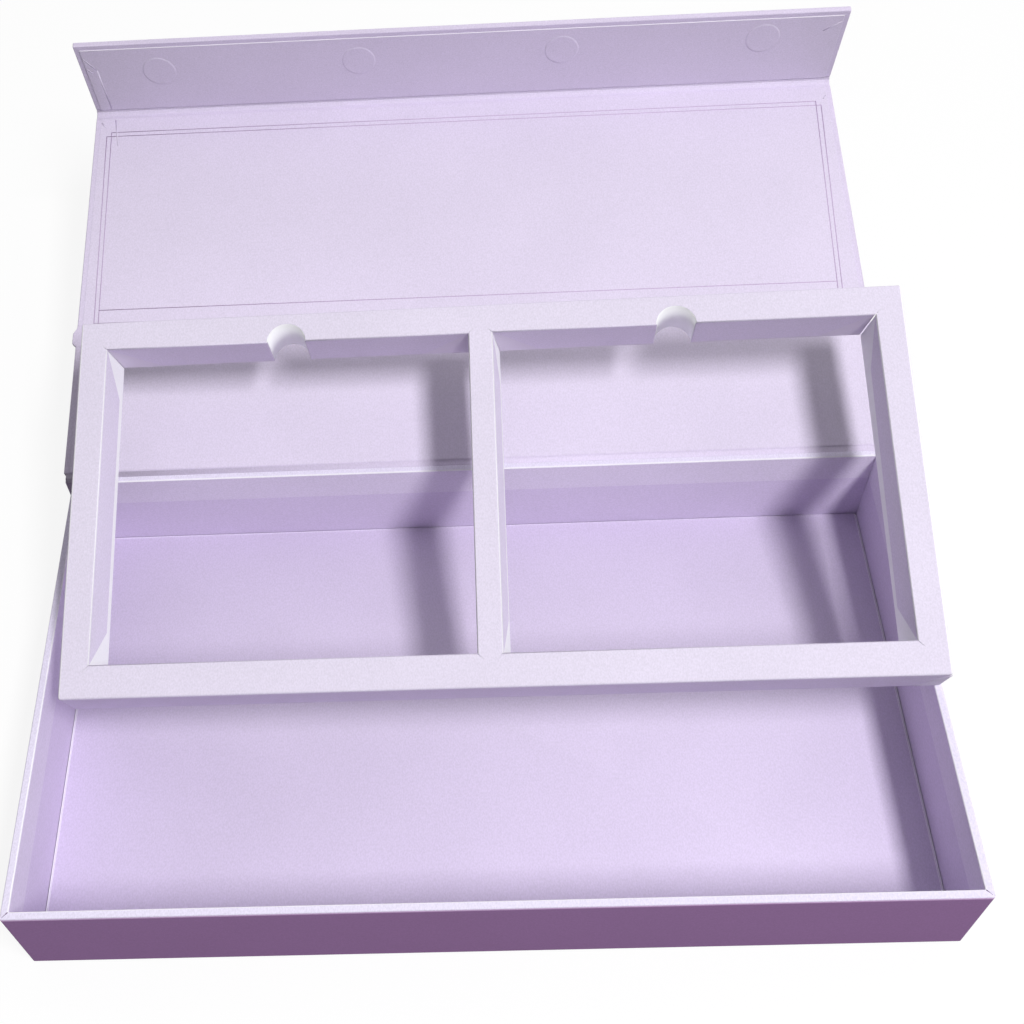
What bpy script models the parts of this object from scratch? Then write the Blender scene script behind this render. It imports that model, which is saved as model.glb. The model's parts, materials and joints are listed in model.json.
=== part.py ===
"""Flip-top box of paper-wrapped board: a tray, a lid in two panels with a magnetic flap, and a loose insert.

Metres, +Z up. The origin is the middle of the tray's underside; -Y is the front, where the flap closes.
The lid stands open, with its inner face up, and the insert is lifted, one corner on the tray's rim.
"""

import math

import bmesh
import bpy
from mathutils import Matrix, Vector

# Overall sizes
TRAY_WIDTH = 0.350
TRAY_DEPTH = 0.197
TRAY_HEIGHT = 0.046
CASE_OVERHANG = 0.0045

# Paper, board and the glue line between them
PAPER = 0.00025
GLUE = 0.0003
WALL_BOARD = 0.0019
BASE_BOARD = 0.0018
FLOOR_CARD = 0.0008
CASE_BOARD = 0.0020

# Tray details
RIM_TURN_IN = 0.0155
MITRE_SLIT = 0.0003
MITRE_LEFT = 0.0008
FLOOR_CLEARANCE = 0.0006

# Spine and rear hinge
HINGE_BEHIND_WALL = 0.0013
HINGE_EDGE = 0.0010
HINGE_ROLL_RADIUS = 0.0007
SPINE_BELOW_RIM = 0.0032
SPINE_FOOT = 0.0008

# Lid, its fold and the flap
LID_SLOPE = math.radians(11.9)
LID_CLEARANCE = 0.0003
FOLD_FROM_HINGE = 0.0708
FOLD_BOARD_GAP = 0.0116
FOLD_PAPER_GAP = 0.0007
CASE_RIM = 0.0025
CREASE_EDGE = 0.0019
CREASE_LEDGE = 0.0044
CREASE_ROLL_RADIUS = 0.0015
FLAP_ABOVE_FLOOR = 0.0005
FLAP_BOARD_START = 0.0015
ROLL_END_CLEARANCE = 0.0010

# Magnets
MAGNET_DIAMETER = 0.0150
MAGNET_THICKNESS = 0.0015
MAGNET_CLEARANCE = 0.0003
MAGNET_COUNT = 4
MAGNET_FROM_SIDE = 0.03325
MAGNET_FROM_CREASE = 0.0290

# Insert
INSERT_SIDE_CLEARANCE = 0.0040
INSERT_DEPTH_CLEARANCE = 0.0320
INSERT_SKIRT = 0.0205
INSERT_BOARD = 0.0010
INSERT_RIM_GAP = 0.0003
WINDOW_SIDE_MARGIN = 0.0115
WINDOW_FRONT_MARGIN = 0.0133
WINDOW_BACK_MARGIN = 0.0127
WINDOW_FLAP_ABOVE_SKIRT = 0.0015
BAR_WIDTH = 0.0100
BAR_LEFT_OF_MIDDLE = 0.0015
NOTCH_RADIUS = 0.00775
NOTCH_SHIFTS = (0.0, -0.0023)

# Where the lifted insert is
INSERT_RIGHT_OF_MIDDLE = 0.0050
INSERT_FROM_FRONT = 0.0794
INSERT_PITCH = math.radians(17.47)
INSERT_ROLL = math.radians(1.60)
INSERT_YAW = math.radians(-0.90)

# Cuts run past what they cut
OVERRUN = 0.002

# Edges sharper than this stay crisp on round pieces
SHARP_ANGLE = math.radians(40)

WALL = PAPER + GLUE + WALL_BOARD + GLUE + PAPER
SKIN = PAPER + GLUE
CASE = PAPER + GLUE + CASE_BOARD + GLUE + PAPER
FRONT = -TRAY_DEPTH / 2
BACK = TRAY_DEPTH / 2
HALF_TRAY = TRAY_WIDTH / 2
HALF_CASE = HALF_TRAY + CASE_OVERHANG
BASE_TOP = SKIN + BASE_BOARD
FLOOR_CARD_TOP = BASE_TOP + GLUE + FLOOR_CARD
FLOOR = FLOOR_CARD_TOP + SKIN
HINGE = Vector((0, BACK + HINGE_BEHIND_WALL, TRAY_HEIGHT + LID_CLEARANCE))
LID_LENGTH = TRAY_DEPTH + HINGE_BEHIND_WALL + LID_CLEARANCE
FLAP_LENGTH = TRAY_HEIGHT + LID_CLEARANCE - FLAP_ABOVE_FLOOR
FOLD_AXIS = Vector((0, FOLD_FROM_HINGE, PAPER / 2 - CASE))
CREASE_AXIS = Vector((0, LID_LENGTH + CASE / 2, -CASE / 2))
MAGNET_RADIUS = MAGNET_DIAMETER / 2
MAGNET_PITCH = (TRAY_WIDTH - 2 * MAGNET_FROM_SIDE) / (MAGNET_COUNT - 1)
MAGNET_HEIGHT = TRAY_HEIGHT + LID_CLEARANCE - MAGNET_FROM_CREASE
INSERT_WIDTH = TRAY_WIDTH - 2 * (WALL + INSERT_SIDE_CLEARANCE)
INSERT_DEPTH = TRAY_DEPTH - 2 * WALL - INSERT_DEPTH_CLEARANCE
WINDOW_FLAP = INSERT_SKIRT - WINDOW_FLAP_ABOVE_SKIRT
ROUND_SEGMENTS = 32
ROLL_SEGMENTS = 16


def clear_scene():
    for old in list(bpy.data.objects):
        bpy.data.objects.remove(old, do_unlink=True)


def make_collection(name):
    collection = bpy.data.collections.new(name)
    bpy.context.scene.collection.children.link(collection)
    return collection


def make_material(name, color, roughness, metallic=0.0):
    material = bpy.data.materials.new(name)
    material.use_nodes = True
    shader = material.node_tree.nodes["Principled BSDF"]
    shader.inputs["Base Color"].default_value = (*color, 1.0)
    shader.inputs["Roughness"].default_value = roughness
    shader.inputs["Metallic"].default_value = metallic
    material.diffuse_color = (*color, 1.0)
    return material


clear_scene()
PARTS = make_collection("flip_top_box")
CUTTERS = make_collection("cutters")
LILAC = (0.72, 0.66, 0.82)
GREY_BOARD = (0.42, 0.40, 0.37)
WHITE_BOARD = (0.86, 0.86, 0.88)
STEEL = (0.70, 0.70, 0.72)


def empty(name, location, rotation=(0, 0, 0), parent=None):
    """A frame for pieces that move together, on their joint's axis."""
    frame = bpy.data.objects.new(name, None)
    PARTS.objects.link(frame)
    frame.parent = parent
    frame.location = location
    frame.rotation_euler = rotation
    return frame


def link(name, shape, frame, pivot, cutter):
    """Makes the object of a bmesh that was drawn in the frame's own coordinates, or in those of the pivot's."""
    bmesh.ops.translate(shape, verts=shape.verts, vec=-Vector(pivot))
    mesh = bpy.data.meshes.new(name)
    shape.to_mesh(mesh)
    shape.free()
    piece = bpy.data.objects.new(name, mesh)
    piece.parent = frame
    (CUTTERS if cutter else PARTS).objects.link(piece)
    if cutter:
        piece.hide_render = True
        piece.display_type = "WIRE"
    return piece


def block(name, low, high, frame=None, pivot=(0, 0, 0), cutter=False, turn=0.0):
    """A box between two corners, turned about its own middle by an angle about Z."""
    low, high = Vector(low), Vector(high)
    shape = bmesh.new()
    place = Matrix.Translation((low + high) / 2) @ Matrix.Rotation(turn, 4, "Z")
    bmesh.ops.create_cube(shape, size=1.0, matrix=place @ Matrix.Diagonal((*(high - low), 1.0)))
    return link(name, shape, frame, pivot, cutter)


def rod(name, centre, axis, radius, length, frame=None, pivot=(0, 0, 0), cutter=False, segments=ROUND_SEGMENTS):
    """A round rod whose axis is X, Y or Z, about its centre."""
    turns = {"X": Matrix.Rotation(math.pi / 2, 4, "Y"), "Y": Matrix.Rotation(math.pi / 2, 4, "X"), "Z": Matrix()}
    shape = bmesh.new()
    bmesh.ops.create_cone(
        shape, cap_ends=True, segments=segments, radius1=radius, radius2=radius, depth=length,
        matrix=Matrix.Translation(centre) @ turns[axis],
    )
    piece = link(name, shape, frame, pivot, cutter)
    piece.data.shade_smooth()
    piece.data.set_sharp_from_angle(angle=SHARP_ANGLE)
    return piece


def cut(piece, *cutters):
    for number, cutter in enumerate(cutters):
        modifier = piece.modifiers.new(f"cut_{number}", "BOOLEAN")
        modifier.operation = "DIFFERENCE"
        modifier.solver = "EXACT"
        modifier.object = cutter
    return piece


def finish(piece, material):
    piece.data.materials.append(material)
    return piece


lilac_paper = make_material("lilac_paper", LILAC, 0.8)
grey_board = make_material("grey_board", GREY_BOARD, 0.9)
white_board = make_material("white_board", WHITE_BOARD, 0.75)
magnet_steel = make_material("magnet_steel", STEEL, 0.3, 1.0)


def magnet_places():
    first = MAGNET_FROM_SIDE - HALF_TRAY
    return [first + MAGNET_PITCH * number for number in range(MAGNET_COUNT)]


def make_tray_boards():
    """The base board and the four wall boards around it."""
    half_x, front, back = HALF_TRAY - SKIN, FRONT + SKIN, BACK - SKIN
    inner_x, inner_front, inner_back = half_x - WALL_BOARD, front + WALL_BOARD, back - WALL_BOARD
    top = TRAY_HEIGHT - SKIN
    finish(
        block("tray_base_board", (-inner_x + GLUE, inner_front + GLUE, SKIN),
              (inner_x - GLUE, inner_back - GLUE, BASE_TOP)),
        grey_board,
    )
    front_board = block("tray_front_board", (-half_x, front, SKIN), (half_x, inner_front, top))
    finish(front_board, grey_board)
    finish(block("tray_back_board", (-half_x, inner_back, SKIN), (half_x, back, top)), grey_board)
    for name, low_x, high_x in (("left", -half_x, -inner_x), ("right", inner_x, half_x)):
        low, high = (low_x, inner_front + GLUE, SKIN), (high_x, inner_back - GLUE, top)
        finish(block(f"tray_{name}_board", low, high), grey_board)
    middle = (front + inner_front) / 2
    for number, x in enumerate(magnet_places(), 1):
        centre = (x, middle, MAGNET_HEIGHT)
        bore = rod(f"wall_bore_{number}", centre, "Y", MAGNET_RADIUS + MAGNET_CLEARANCE, WALL_BOARD + OVERRUN,
                   cutter=True)
        cut(front_board, bore)
        finish(rod(f"wall_magnet_{number}", centre, "Y", MAGNET_RADIUS, MAGNET_THICKNESS), magnet_steel)


def make_tray_papers():
    """The paper under the base, the wrap over the walls and their rim, and the lining inside."""
    finish(block("tray_base_paper", (-HALF_TRAY, FRONT, 0), (HALF_TRAY, BACK, PAPER)), lilac_paper)

    foot = SKIN
    wrap = block("tray_wrap", (-HALF_TRAY, FRONT, foot), (HALF_TRAY, BACK, TRAY_HEIGHT))
    inside = block("wrap_inside", (-HALF_TRAY + WALL, FRONT + WALL, foot - OVERRUN),
                   (HALF_TRAY - WALL, BACK - WALL, TRAY_HEIGHT + OVERRUN), cutter=True)
    boards = block("wrap_board_space", (-HALF_TRAY + PAPER, FRONT + PAPER, foot - OVERRUN),
                   (HALF_TRAY - PAPER, BACK - PAPER, TRAY_HEIGHT - PAPER), cutter=True)
    turn_in = block("wrap_turn_in", (-HALF_TRAY + WALL - PAPER, FRONT + WALL - PAPER, TRAY_HEIGHT - RIM_TURN_IN),
                    (HALF_TRAY - WALL + PAPER, BACK - WALL + PAPER, TRAY_HEIGHT + OVERRUN), cutter=True)
    cut(boards, turn_in)
    cut(wrap, inside, boards)
    reach = WALL - MITRE_LEFT
    for x_side in (-1, 1):
        for y_side in (-1, 1):
            corner = Vector((x_side * (HALF_TRAY - WALL), y_side * (BACK - WALL), 0))
            middle = corner + Vector((x_side, y_side, 0)) * (reach - OVERRUN) / 2
            half = Vector(((reach + OVERRUN) * math.sqrt(2) / 2, MITRE_SLIT / 2, 0))
            slit = block(
                f"mitre_slit_{'left' if x_side < 0 else 'right'}_{'front' if y_side < 0 else 'back'}",
                middle - half + Vector((0, 0, TRAY_HEIGHT - RIM_TURN_IN - OVERRUN)),
                middle + half + Vector((0, 0, TRAY_HEIGHT + OVERRUN)),
                cutter=True, turn=math.pi / 4 * x_side * y_side,
            )
            cut(wrap, slit)
    finish(wrap, lilac_paper)

    outer_x, outer_y = HALF_TRAY - WALL + PAPER, BACK - WALL + PAPER
    lining_top = TRAY_HEIGHT - RIM_TURN_IN - GLUE
    lining = block("tray_wall_lining", (-outer_x, -outer_y, BASE_TOP + GLUE), (outer_x, outer_y, lining_top))
    hollow = block("lining_inside", (-outer_x + PAPER, -outer_y + PAPER, BASE_TOP + GLUE - OVERRUN),
                   (outer_x - PAPER, outer_y - PAPER, lining_top + OVERRUN), cutter=True)
    finish(cut(lining, hollow), lilac_paper)

    floor_x, floor_y = HALF_TRAY - WALL - FLOOR_CLEARANCE, BACK - WALL - FLOOR_CLEARANCE
    finish(block("tray_floor_card", (-floor_x, -floor_y, BASE_TOP + GLUE), (floor_x, floor_y, FLOOR_CARD_TOP)),
           white_board)
    finish(block("tray_floor_paper", (-floor_x, -floor_y, FLOOR - PAPER), (floor_x, floor_y, FLOOR)), lilac_paper)


def make_spine():
    """The board glued to the tray's back, its wrap, and the rolled paper that the lid turns on."""
    inner = BACK + GLUE
    top = TRAY_HEIGHT - SPINE_BELOW_RIM
    half_board = HALF_CASE - SKIN
    finish(
        block("spine_board", (-half_board, inner, SPINE_FOOT + SKIN), (half_board, inner + CASE_BOARD, top)),
        grey_board,
    )
    outer = inner + CASE_BOARD + SKIN
    wrap = block("spine_wrap", (-HALF_CASE, inner, SPINE_FOOT), (HALF_CASE, outer, top))
    space = block("spine_board_space", (-HALF_CASE + PAPER, inner - OVERRUN, SPINE_FOOT + PAPER),
                  (HALF_CASE - PAPER, outer - PAPER, top + OVERRUN), cutter=True)
    finish(cut(wrap, space), lilac_paper)
    finish(
        rod("rear_hinge", HINGE, "X", HINGE_ROLL_RADIUS, 2 * (HALF_CASE - ROLL_END_CLEARANCE),
            segments=ROLL_SEGMENTS),
        lilac_paper,
    )


def make_panel_papers(name, start, end, frame, pivot):
    """One lid panel's wrap, a channel open at both hinges, and the lining set into its inner face."""
    wrap = block(f"{name}_wrap", (-HALF_CASE, start, -CASE), (HALF_CASE, end, 0), frame, pivot)
    core = block(f"{name}_wrap_core", (-HALF_CASE + PAPER, start - OVERRUN, PAPER - CASE),
                 (HALF_CASE - PAPER, end + OVERRUN, -PAPER), frame, pivot, cutter=True)
    face = block(f"{name}_wrap_face", (-HALF_CASE + CASE_RIM, start - OVERRUN, -CASE / 2),
                 (HALF_CASE - CASE_RIM, end + OVERRUN, OVERRUN), frame, pivot, cutter=True)
    finish(cut(wrap, core, face), lilac_paper)
    half_lining = HALF_CASE - CASE_RIM - GLUE
    finish(
        block(f"{name}_lining", (-half_lining, start, -PAPER), (half_lining, end, 0), frame, pivot),
        lilac_paper,
    )


def make_lid(lid, fold, crease):
    """The rear panel, the front panel beyond the fold, and the rolled paper of the flap's crease."""
    half_board = HALF_CASE - SKIN
    fold_rear, fold_front = FOLD_FROM_HINGE - FOLD_PAPER_GAP / 2, FOLD_FROM_HINGE + FOLD_PAPER_GAP / 2
    board_rear, board_front = FOLD_FROM_HINGE - FOLD_BOARD_GAP / 2, FOLD_FROM_HINGE + FOLD_BOARD_GAP / 2
    panel_end = LID_LENGTH + CASE / 2 - CREASE_EDGE

    finish(
        block("lid_rear_board", (-half_board, HINGE_EDGE, SKIN - CASE), (half_board, board_rear, -SKIN), lid),
        grey_board,
    )
    make_panel_papers("lid_rear", HINGE_EDGE, fold_rear, lid, (0, 0, 0))

    finish(
        block("lid_front_board", (-half_board, board_front, SKIN - CASE),
              (half_board, LID_LENGTH - CREASE_LEDGE, -SKIN), fold, FOLD_AXIS),
        grey_board,
    )
    make_panel_papers("lid_front", fold_front, panel_end, fold, FOLD_AXIS)
    finish(
        rod("flap_hinge", CREASE_AXIS, "X", CREASE_ROLL_RADIUS, 2 * (HALF_CASE - ROLL_END_CLEARANCE), fold,
            FOLD_AXIS, segments=ROLL_SEGMENTS),
        lilac_paper,
    )
    make_flap(crease, half_board)


def make_flap(crease, half_board):
    """The flap at right angles to the lid, with magnets in its board."""
    inner, outer = LID_LENGTH, LID_LENGTH + CASE
    start = CREASE_EDGE - CASE / 2
    board = block("flap_board", (-half_board, inner + SKIN, start + FLAP_BOARD_START),
                  (half_board, outer - SKIN, FLAP_LENGTH - SKIN), crease, CREASE_AXIS)
    middle = (inner + outer) / 2
    for number, x in enumerate(magnet_places(), 1):
        centre = (x, middle, MAGNET_FROM_CREASE)
        bore = rod(f"flap_bore_{number}", centre, "Y", MAGNET_RADIUS + MAGNET_CLEARANCE, CASE_BOARD + OVERRUN,
                   crease, CREASE_AXIS, cutter=True)
        cut(board, bore)
        finish(
            rod(f"flap_magnet_{number}", centre, "Y", MAGNET_RADIUS, MAGNET_THICKNESS, crease, CREASE_AXIS),
            magnet_steel,
        )
    finish(board, grey_board)

    wrap = block("flap_wrap", (-HALF_CASE, inner, start), (HALF_CASE, outer, FLAP_LENGTH), crease, CREASE_AXIS)
    core = block("flap_wrap_core", (-HALF_CASE + PAPER, inner + PAPER, start - OVERRUN),
                 (HALF_CASE - PAPER, outer - PAPER, FLAP_LENGTH - PAPER), crease, CREASE_AXIS, cutter=True)
    face = block("flap_wrap_face", (-HALF_CASE + CASE_RIM, inner - OVERRUN, start - OVERRUN),
                 (HALF_CASE - CASE_RIM, middle, FLAP_LENGTH - CASE_RIM), crease, CREASE_AXIS, cutter=True)
    finish(cut(wrap, core, face), lilac_paper)
    half_lining = HALF_CASE - CASE_RIM - GLUE
    finish(
        block("flap_lining", (-half_lining, inner, start),
              (half_lining, inner + PAPER, FLAP_LENGTH - CASE_RIM - GLUE), crease, CREASE_AXIS),
        lilac_paper,
    )


def window_spans():
    """The two windows' left and right edges, and the x of each one's thumb notch."""
    bar_left = -BAR_LEFT_OF_MIDDLE - BAR_WIDTH / 2
    edge = INSERT_WIDTH / 2 - WINDOW_SIDE_MARGIN
    spans = ((-edge, bar_left), (bar_left + BAR_WIDTH, edge))
    return [(left, right, (left + right) / 2 + shift) for (left, right), shift in zip(spans, NOTCH_SHIFTS)]


def window_shapes(name, grow, low, high, frame):
    """Blocks and rods that together fill both windows and their notches, each side moved out by grow."""
    front, back = WINDOW_FRONT_MARGIN, INSERT_DEPTH - WINDOW_BACK_MARGIN
    shapes = []
    for number, (left, right, notch) in enumerate(window_spans(), 1):
        shapes.append(block(f"{name}_window_{number}", (left - grow, front - grow, low),
                            (right + grow, back + grow, high), frame, cutter=True))
        shapes.append(rod(f"{name}_notch_{number}", (notch, back, (low + high) / 2), "Z", NOTCH_RADIUS + grow,
                          high - low, frame, cutter=True))
    return shapes


def make_insert(insert):
    """A folded white board with two windows, skirts and window flaps, and the lilac paper over it."""
    half, depth, skirt = INSERT_WIDTH / 2, INSERT_DEPTH, INSERT_SKIRT
    board = block("insert_board", (-half + SKIN, SKIN, -skirt), (half - SKIN, depth - SKIN, -SKIN), insert)
    wall = SKIN + INSERT_BOARD
    hollow = block("insert_hollow", (-half + wall, wall, -skirt - OVERRUN), (half - wall, depth - wall, -wall),
                   insert, cutter=True)
    cut(hollow, *window_shapes("keep", SKIN + INSERT_BOARD, -WINDOW_FLAP, 0, insert))
    cut(board, hollow, *window_shapes("hole", SKIN, -skirt - OVERRUN, OVERRUN, insert))
    finish(board, white_board)

    paper = block("insert_paper", (-half, 0, -skirt), (half, depth, 0), insert)
    space = block("paper_hollow", (-half + PAPER, PAPER, -skirt - OVERRUN), (half - PAPER, depth - PAPER, -PAPER),
                  insert, cutter=True)
    cut(space, *window_shapes("tab", PAPER, -WINDOW_FLAP, 0, insert))
    cut(paper, space, *window_shapes("view", 0, -skirt - OVERRUN, OVERRUN, insert))
    finish(paper, lilac_paper)


def insert_height():
    """The height of the insert's front edge where its right lower corner lies on the tray's rim."""
    corner_rise = math.sin(INSERT_ROLL) * INSERT_WIDTH / 2
    skirt_drop = math.cos(INSERT_PITCH) * math.cos(INSERT_ROLL) * INSERT_SKIRT
    return TRAY_HEIGHT + INSERT_RIM_GAP - corner_rise + skirt_drop


make_tray_boards()
make_tray_papers()
make_spine()
lid_frame = empty("lid_rear_frame", HINGE, (LID_SLOPE, 0, 0))
fold_frame = empty("lid_front_frame", FOLD_AXIS, parent=lid_frame)
crease_frame = empty("flap_frame", CREASE_AXIS - FOLD_AXIS, parent=fold_frame)
make_lid(lid_frame, fold_frame, crease_frame)
insert_frame = empty(
    "insert_frame",
    (INSERT_RIGHT_OF_MIDDLE, FRONT + INSERT_FROM_FRONT, insert_height()),
    (INSERT_PITCH, -INSERT_ROLL, INSERT_YAW),
)
make_insert(insert_frame)
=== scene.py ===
import json
import math

import bmesh
import bpy
from mathutils import Euler, Matrix, Vector

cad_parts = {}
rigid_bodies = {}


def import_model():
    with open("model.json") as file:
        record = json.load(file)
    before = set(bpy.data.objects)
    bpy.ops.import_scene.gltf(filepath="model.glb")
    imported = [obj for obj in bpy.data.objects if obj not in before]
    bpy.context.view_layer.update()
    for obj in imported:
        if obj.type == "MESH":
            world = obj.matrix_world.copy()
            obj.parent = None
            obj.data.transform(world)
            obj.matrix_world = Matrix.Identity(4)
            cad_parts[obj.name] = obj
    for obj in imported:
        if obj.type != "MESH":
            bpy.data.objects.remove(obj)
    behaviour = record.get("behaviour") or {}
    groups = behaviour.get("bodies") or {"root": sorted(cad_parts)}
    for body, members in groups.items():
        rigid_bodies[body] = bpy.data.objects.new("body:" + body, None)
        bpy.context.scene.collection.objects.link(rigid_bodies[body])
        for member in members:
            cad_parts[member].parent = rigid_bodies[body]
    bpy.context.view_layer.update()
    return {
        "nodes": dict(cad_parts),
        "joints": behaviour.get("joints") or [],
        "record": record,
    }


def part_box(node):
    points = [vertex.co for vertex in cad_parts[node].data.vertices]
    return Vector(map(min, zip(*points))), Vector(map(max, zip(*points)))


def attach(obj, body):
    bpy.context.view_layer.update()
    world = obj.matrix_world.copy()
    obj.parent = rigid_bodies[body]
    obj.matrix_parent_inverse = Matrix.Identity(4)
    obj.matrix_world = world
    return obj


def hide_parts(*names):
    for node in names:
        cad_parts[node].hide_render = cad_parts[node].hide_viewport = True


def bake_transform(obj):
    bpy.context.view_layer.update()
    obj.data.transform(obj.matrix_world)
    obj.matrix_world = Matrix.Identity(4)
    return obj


# The looks of the flip-top box, built round the imported model. Metres, +Z up, -Y the front, and the origin is the
# middle of the tray's underside. The papers and the insert's card are made here, as thin closed pieces; those that
# lie between two bodies, where the real ones bend, are left in place. The imported boards, floor card and magnets keep
# their shapes.

for old in list(bpy.data.objects):
    bpy.data.objects.remove(old, do_unlink=True)
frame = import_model()

# Sizes that the frame gives
JOINTS = {joint["name"]: joint for joint in frame["joints"]}
HINGE = Vector(JOINTS["lid_hinge"]["pos_m"])
LID_SLOPE = math.pi - math.radians(JOINTS["lid_hinge"]["range_deg"][1])
ALONG_LID = Vector((0, math.cos(LID_SLOPE), math.sin(LID_SLOPE)))
OFF_LID = Vector((0, -math.sin(LID_SLOPE), math.cos(LID_SLOPE)))
HALF_TRAY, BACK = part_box("tray_base_paper")[1].xy
TRAY_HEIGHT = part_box("tray_wrap")[1].z
CARD_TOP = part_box("tray_floor_card")[1].z
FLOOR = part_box("tray_floor_paper")[1].z
HALF_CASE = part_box("lid_front_wrap")[1].x
SPINE_LOW, SPINE_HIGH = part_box("spine_wrap")

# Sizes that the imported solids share: how thick the walls and the case are with their papers, how far the wrap is
# turned in over the rim, how far the lining stays inside the case's edges, and where along the lid its parts are
WALL = 0.0030
RIM_TURN_IN = 0.0155
CASE = 0.0031
CASE_RIM = 0.0025
HINGE_EDGE = 0.0010
FOLD_GAP = 0.0116
FLAP_ABOVE_FLOOR = 0.0005
FOLD = (Vector(JOINTS["lid_fold"]["pos_m"]) - HINGE).dot(ALONG_LID)
LID_LENGTH = (Vector(JOINTS["flap_crease"]["pos_m"]) - HINGE).dot(ALONG_LID) - CASE / 2
FLAP_LENGTH = HINGE.z - FLAP_ABOVE_FLOOR

# The insert, in its own frame: x across, y from its front edge to its back edge, z up from its top face. Each window
# is (left, right, middle of its thumb notch).
INSERT_HALF = 0.1680
INSERT_DEPTH = 0.1590
INSERT_SKIRT = 0.0205
INSERT_TURN = Euler([math.radians(angle) for angle in (17.47, -1.60, -0.90)]).to_matrix()
WINDOW_FRONT, WINDOW_BACK = 0.0133, 0.1463
WINDOWS = ((-0.1565, -0.0065, -0.0815), (0.0035, 0.1565, 0.0777))
WINDOW_FLAP = 0.0190
NOTCH_RADIUS = 0.00775
insert_low, insert_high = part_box("insert_paper")
INSERT_ORIGIN = (insert_low + insert_high) / 2 - INSERT_TURN @ Vector((0, INSERT_DEPTH / 2, -INSERT_SKIRT / 2))
INSERT_PLACE = Matrix.Translation(INSERT_ORIGIN) @ INSERT_TURN.to_4x4()

# How thick the papers are, where they lie against the case's inner face, and how they bend
SHEET = 0.00025
THIN_SHEET = 0.0002
LINING_PROUD = 0.00005
COVER_BELOW = 0.00012
CASE_EDGE = 0.0005
CREASE_RADIUS = 0.0006
CREASE_START = LID_LENGTH - CREASE_RADIUS
CREASE_END = CREASE_START + CREASE_RADIUS * math.pi / 2
CASE_END = CREASE_END + FLAP_LENGTH - CREASE_RADIUS
CORNER_STEPS = 4

# A face whose short side is longer than this is shaded flat
FLAT_SIDE = 0.002


def smooth_step(value):
    value = max(0.0, min(1.0, value))
    return value * value * (3 - 2 * value)


def arc(start, end, steps):
    """Angles from start to end, in degrees, as radians."""
    return [math.radians(start + (end - start) * step / steps) for step in range(steps + 1)]


def rounded_rectangle(half_x, half_y, radius):
    """Points of a rounded rectangle about the origin, anticlockwise; each corner's middle one is on its diagonal."""
    points = []
    for quarter, (x_side, y_side) in enumerate(((1, 1), (-1, 1), (-1, -1), (1, -1))):
        for angle in arc(90 * quarter, 90 * quarter + 90, CORNER_STEPS):
            points.append(Vector((x_side * (half_x - radius) + radius * math.cos(angle),
                                  y_side * (half_y - radius) + radius * math.sin(angle))))
    return points


def thicken(path, thickness):
    """A closed outline: the path, and back along its left side at that distance."""
    beside = []
    for number, point in enumerate(path):
        before, after = path[max(number - 1, 0)], path[min(number + 1, len(path) - 1)]
        first = (point - before).normalized() if point != before else (after - point).normalized()
        second = (after - point).normalized() if point != after else first
        along = (first + second).normalized()
        stretch = 1 / max(0.5, along.dot(first))
        beside.append(point + Vector((-along.y, along.x)) * thickness * stretch)
    return list(path) + beside[::-1]


def add_face(shape, corners):
    face = shape.faces.new(corners)
    face.smooth = min(edge.calc_length() for edge in face.edges) < FLAT_SIDE


def loft(shape, rows, around=True, along=False, caps=True):
    """Faces between rows of points; around closes each row on itself, and along the last row onto the first."""
    rows = [[shape.verts.new(point) for point in row] for row in rows]
    count = len(rows[0])
    for first, second in zip(rows, rows[1:] + rows[:1] if along else rows[1:]):
        for here in range(count if around else count - 1):
            there = (here + 1) % count
            add_face(shape, (first[here], first[there], second[there], second[here]))
    if caps and around and not along:
        add_face(shape, rows[0])
        add_face(shape, rows[-1])


def make_piece(name, shape, material, replaced=(), place=None, merge=False):
    """The object of a bmesh, its faces turned outwards."""
    if merge:
        bmesh.ops.remove_doubles(shape, verts=shape.verts, dist=1e-6)
    bmesh.ops.recalc_face_normals(shape, faces=shape.faces)
    mesh = bpy.data.meshes.new(name)
    shape.to_mesh(mesh)
    shape.free()
    if place is not None:
        mesh.transform(place)
    mesh.materials.append(material)
    piece = bpy.data.objects.new(name, mesh)
    bpy.context.scene.collection.objects.link(piece)
    if replaced:
        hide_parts(*replaced)
    return piece


def give_faces(piece, material, chosen, place=None):
    """Gives a further material to the faces whose middle, seen from place, is chosen."""
    back = place.inverted() if place is not None else Matrix()
    piece.data.materials.append(material)
    for face in piece.data.polygons:
        if chosen(back @ face.center):
            face.material_index = len(piece.data.materials) - 1


# Materials

def srgb(red, green, blue):
    """A colour from its 0 to 255 values."""
    parts = [value / 255 for value in (red, green, blue)]
    return (*(part / 12.92 if part <= 0.04045 else ((part + 0.055) / 1.055) ** 2.4 for part in parts), 1.0)


def start_material(name, roughness, metallic=0.0):
    material = bpy.data.materials.new(name)
    material.use_nodes = True
    shader = material.node_tree.nodes["Principled BSDF"]
    shader.inputs["Roughness"].default_value = roughness
    shader.inputs["Metallic"].default_value = metallic
    return material, material.node_tree, shader


def add_noise(tree, scale, detail, stretch=(1, 1, 1)):
    place = tree.nodes.new("ShaderNodeTexCoord")
    mapping = tree.nodes.new("ShaderNodeMapping")
    mapping.inputs["Scale"].default_value = stretch
    noise = tree.nodes.new("ShaderNodeTexNoise")
    noise.inputs["Scale"].default_value = scale
    noise.inputs["Detail"].default_value = detail
    tree.links.new(place.outputs["Object"], mapping.inputs["Vector"])
    tree.links.new(mapping.outputs["Vector"], noise.inputs["Vector"])
    return noise.outputs["Fac"]


def feed(tree, value, socket):
    """Gives a socket its value: another node's output, a number or a colour."""
    if isinstance(value, bpy.types.NodeSocket):
        tree.links.new(value, socket)
    else:
        socket.default_value = value


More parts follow.
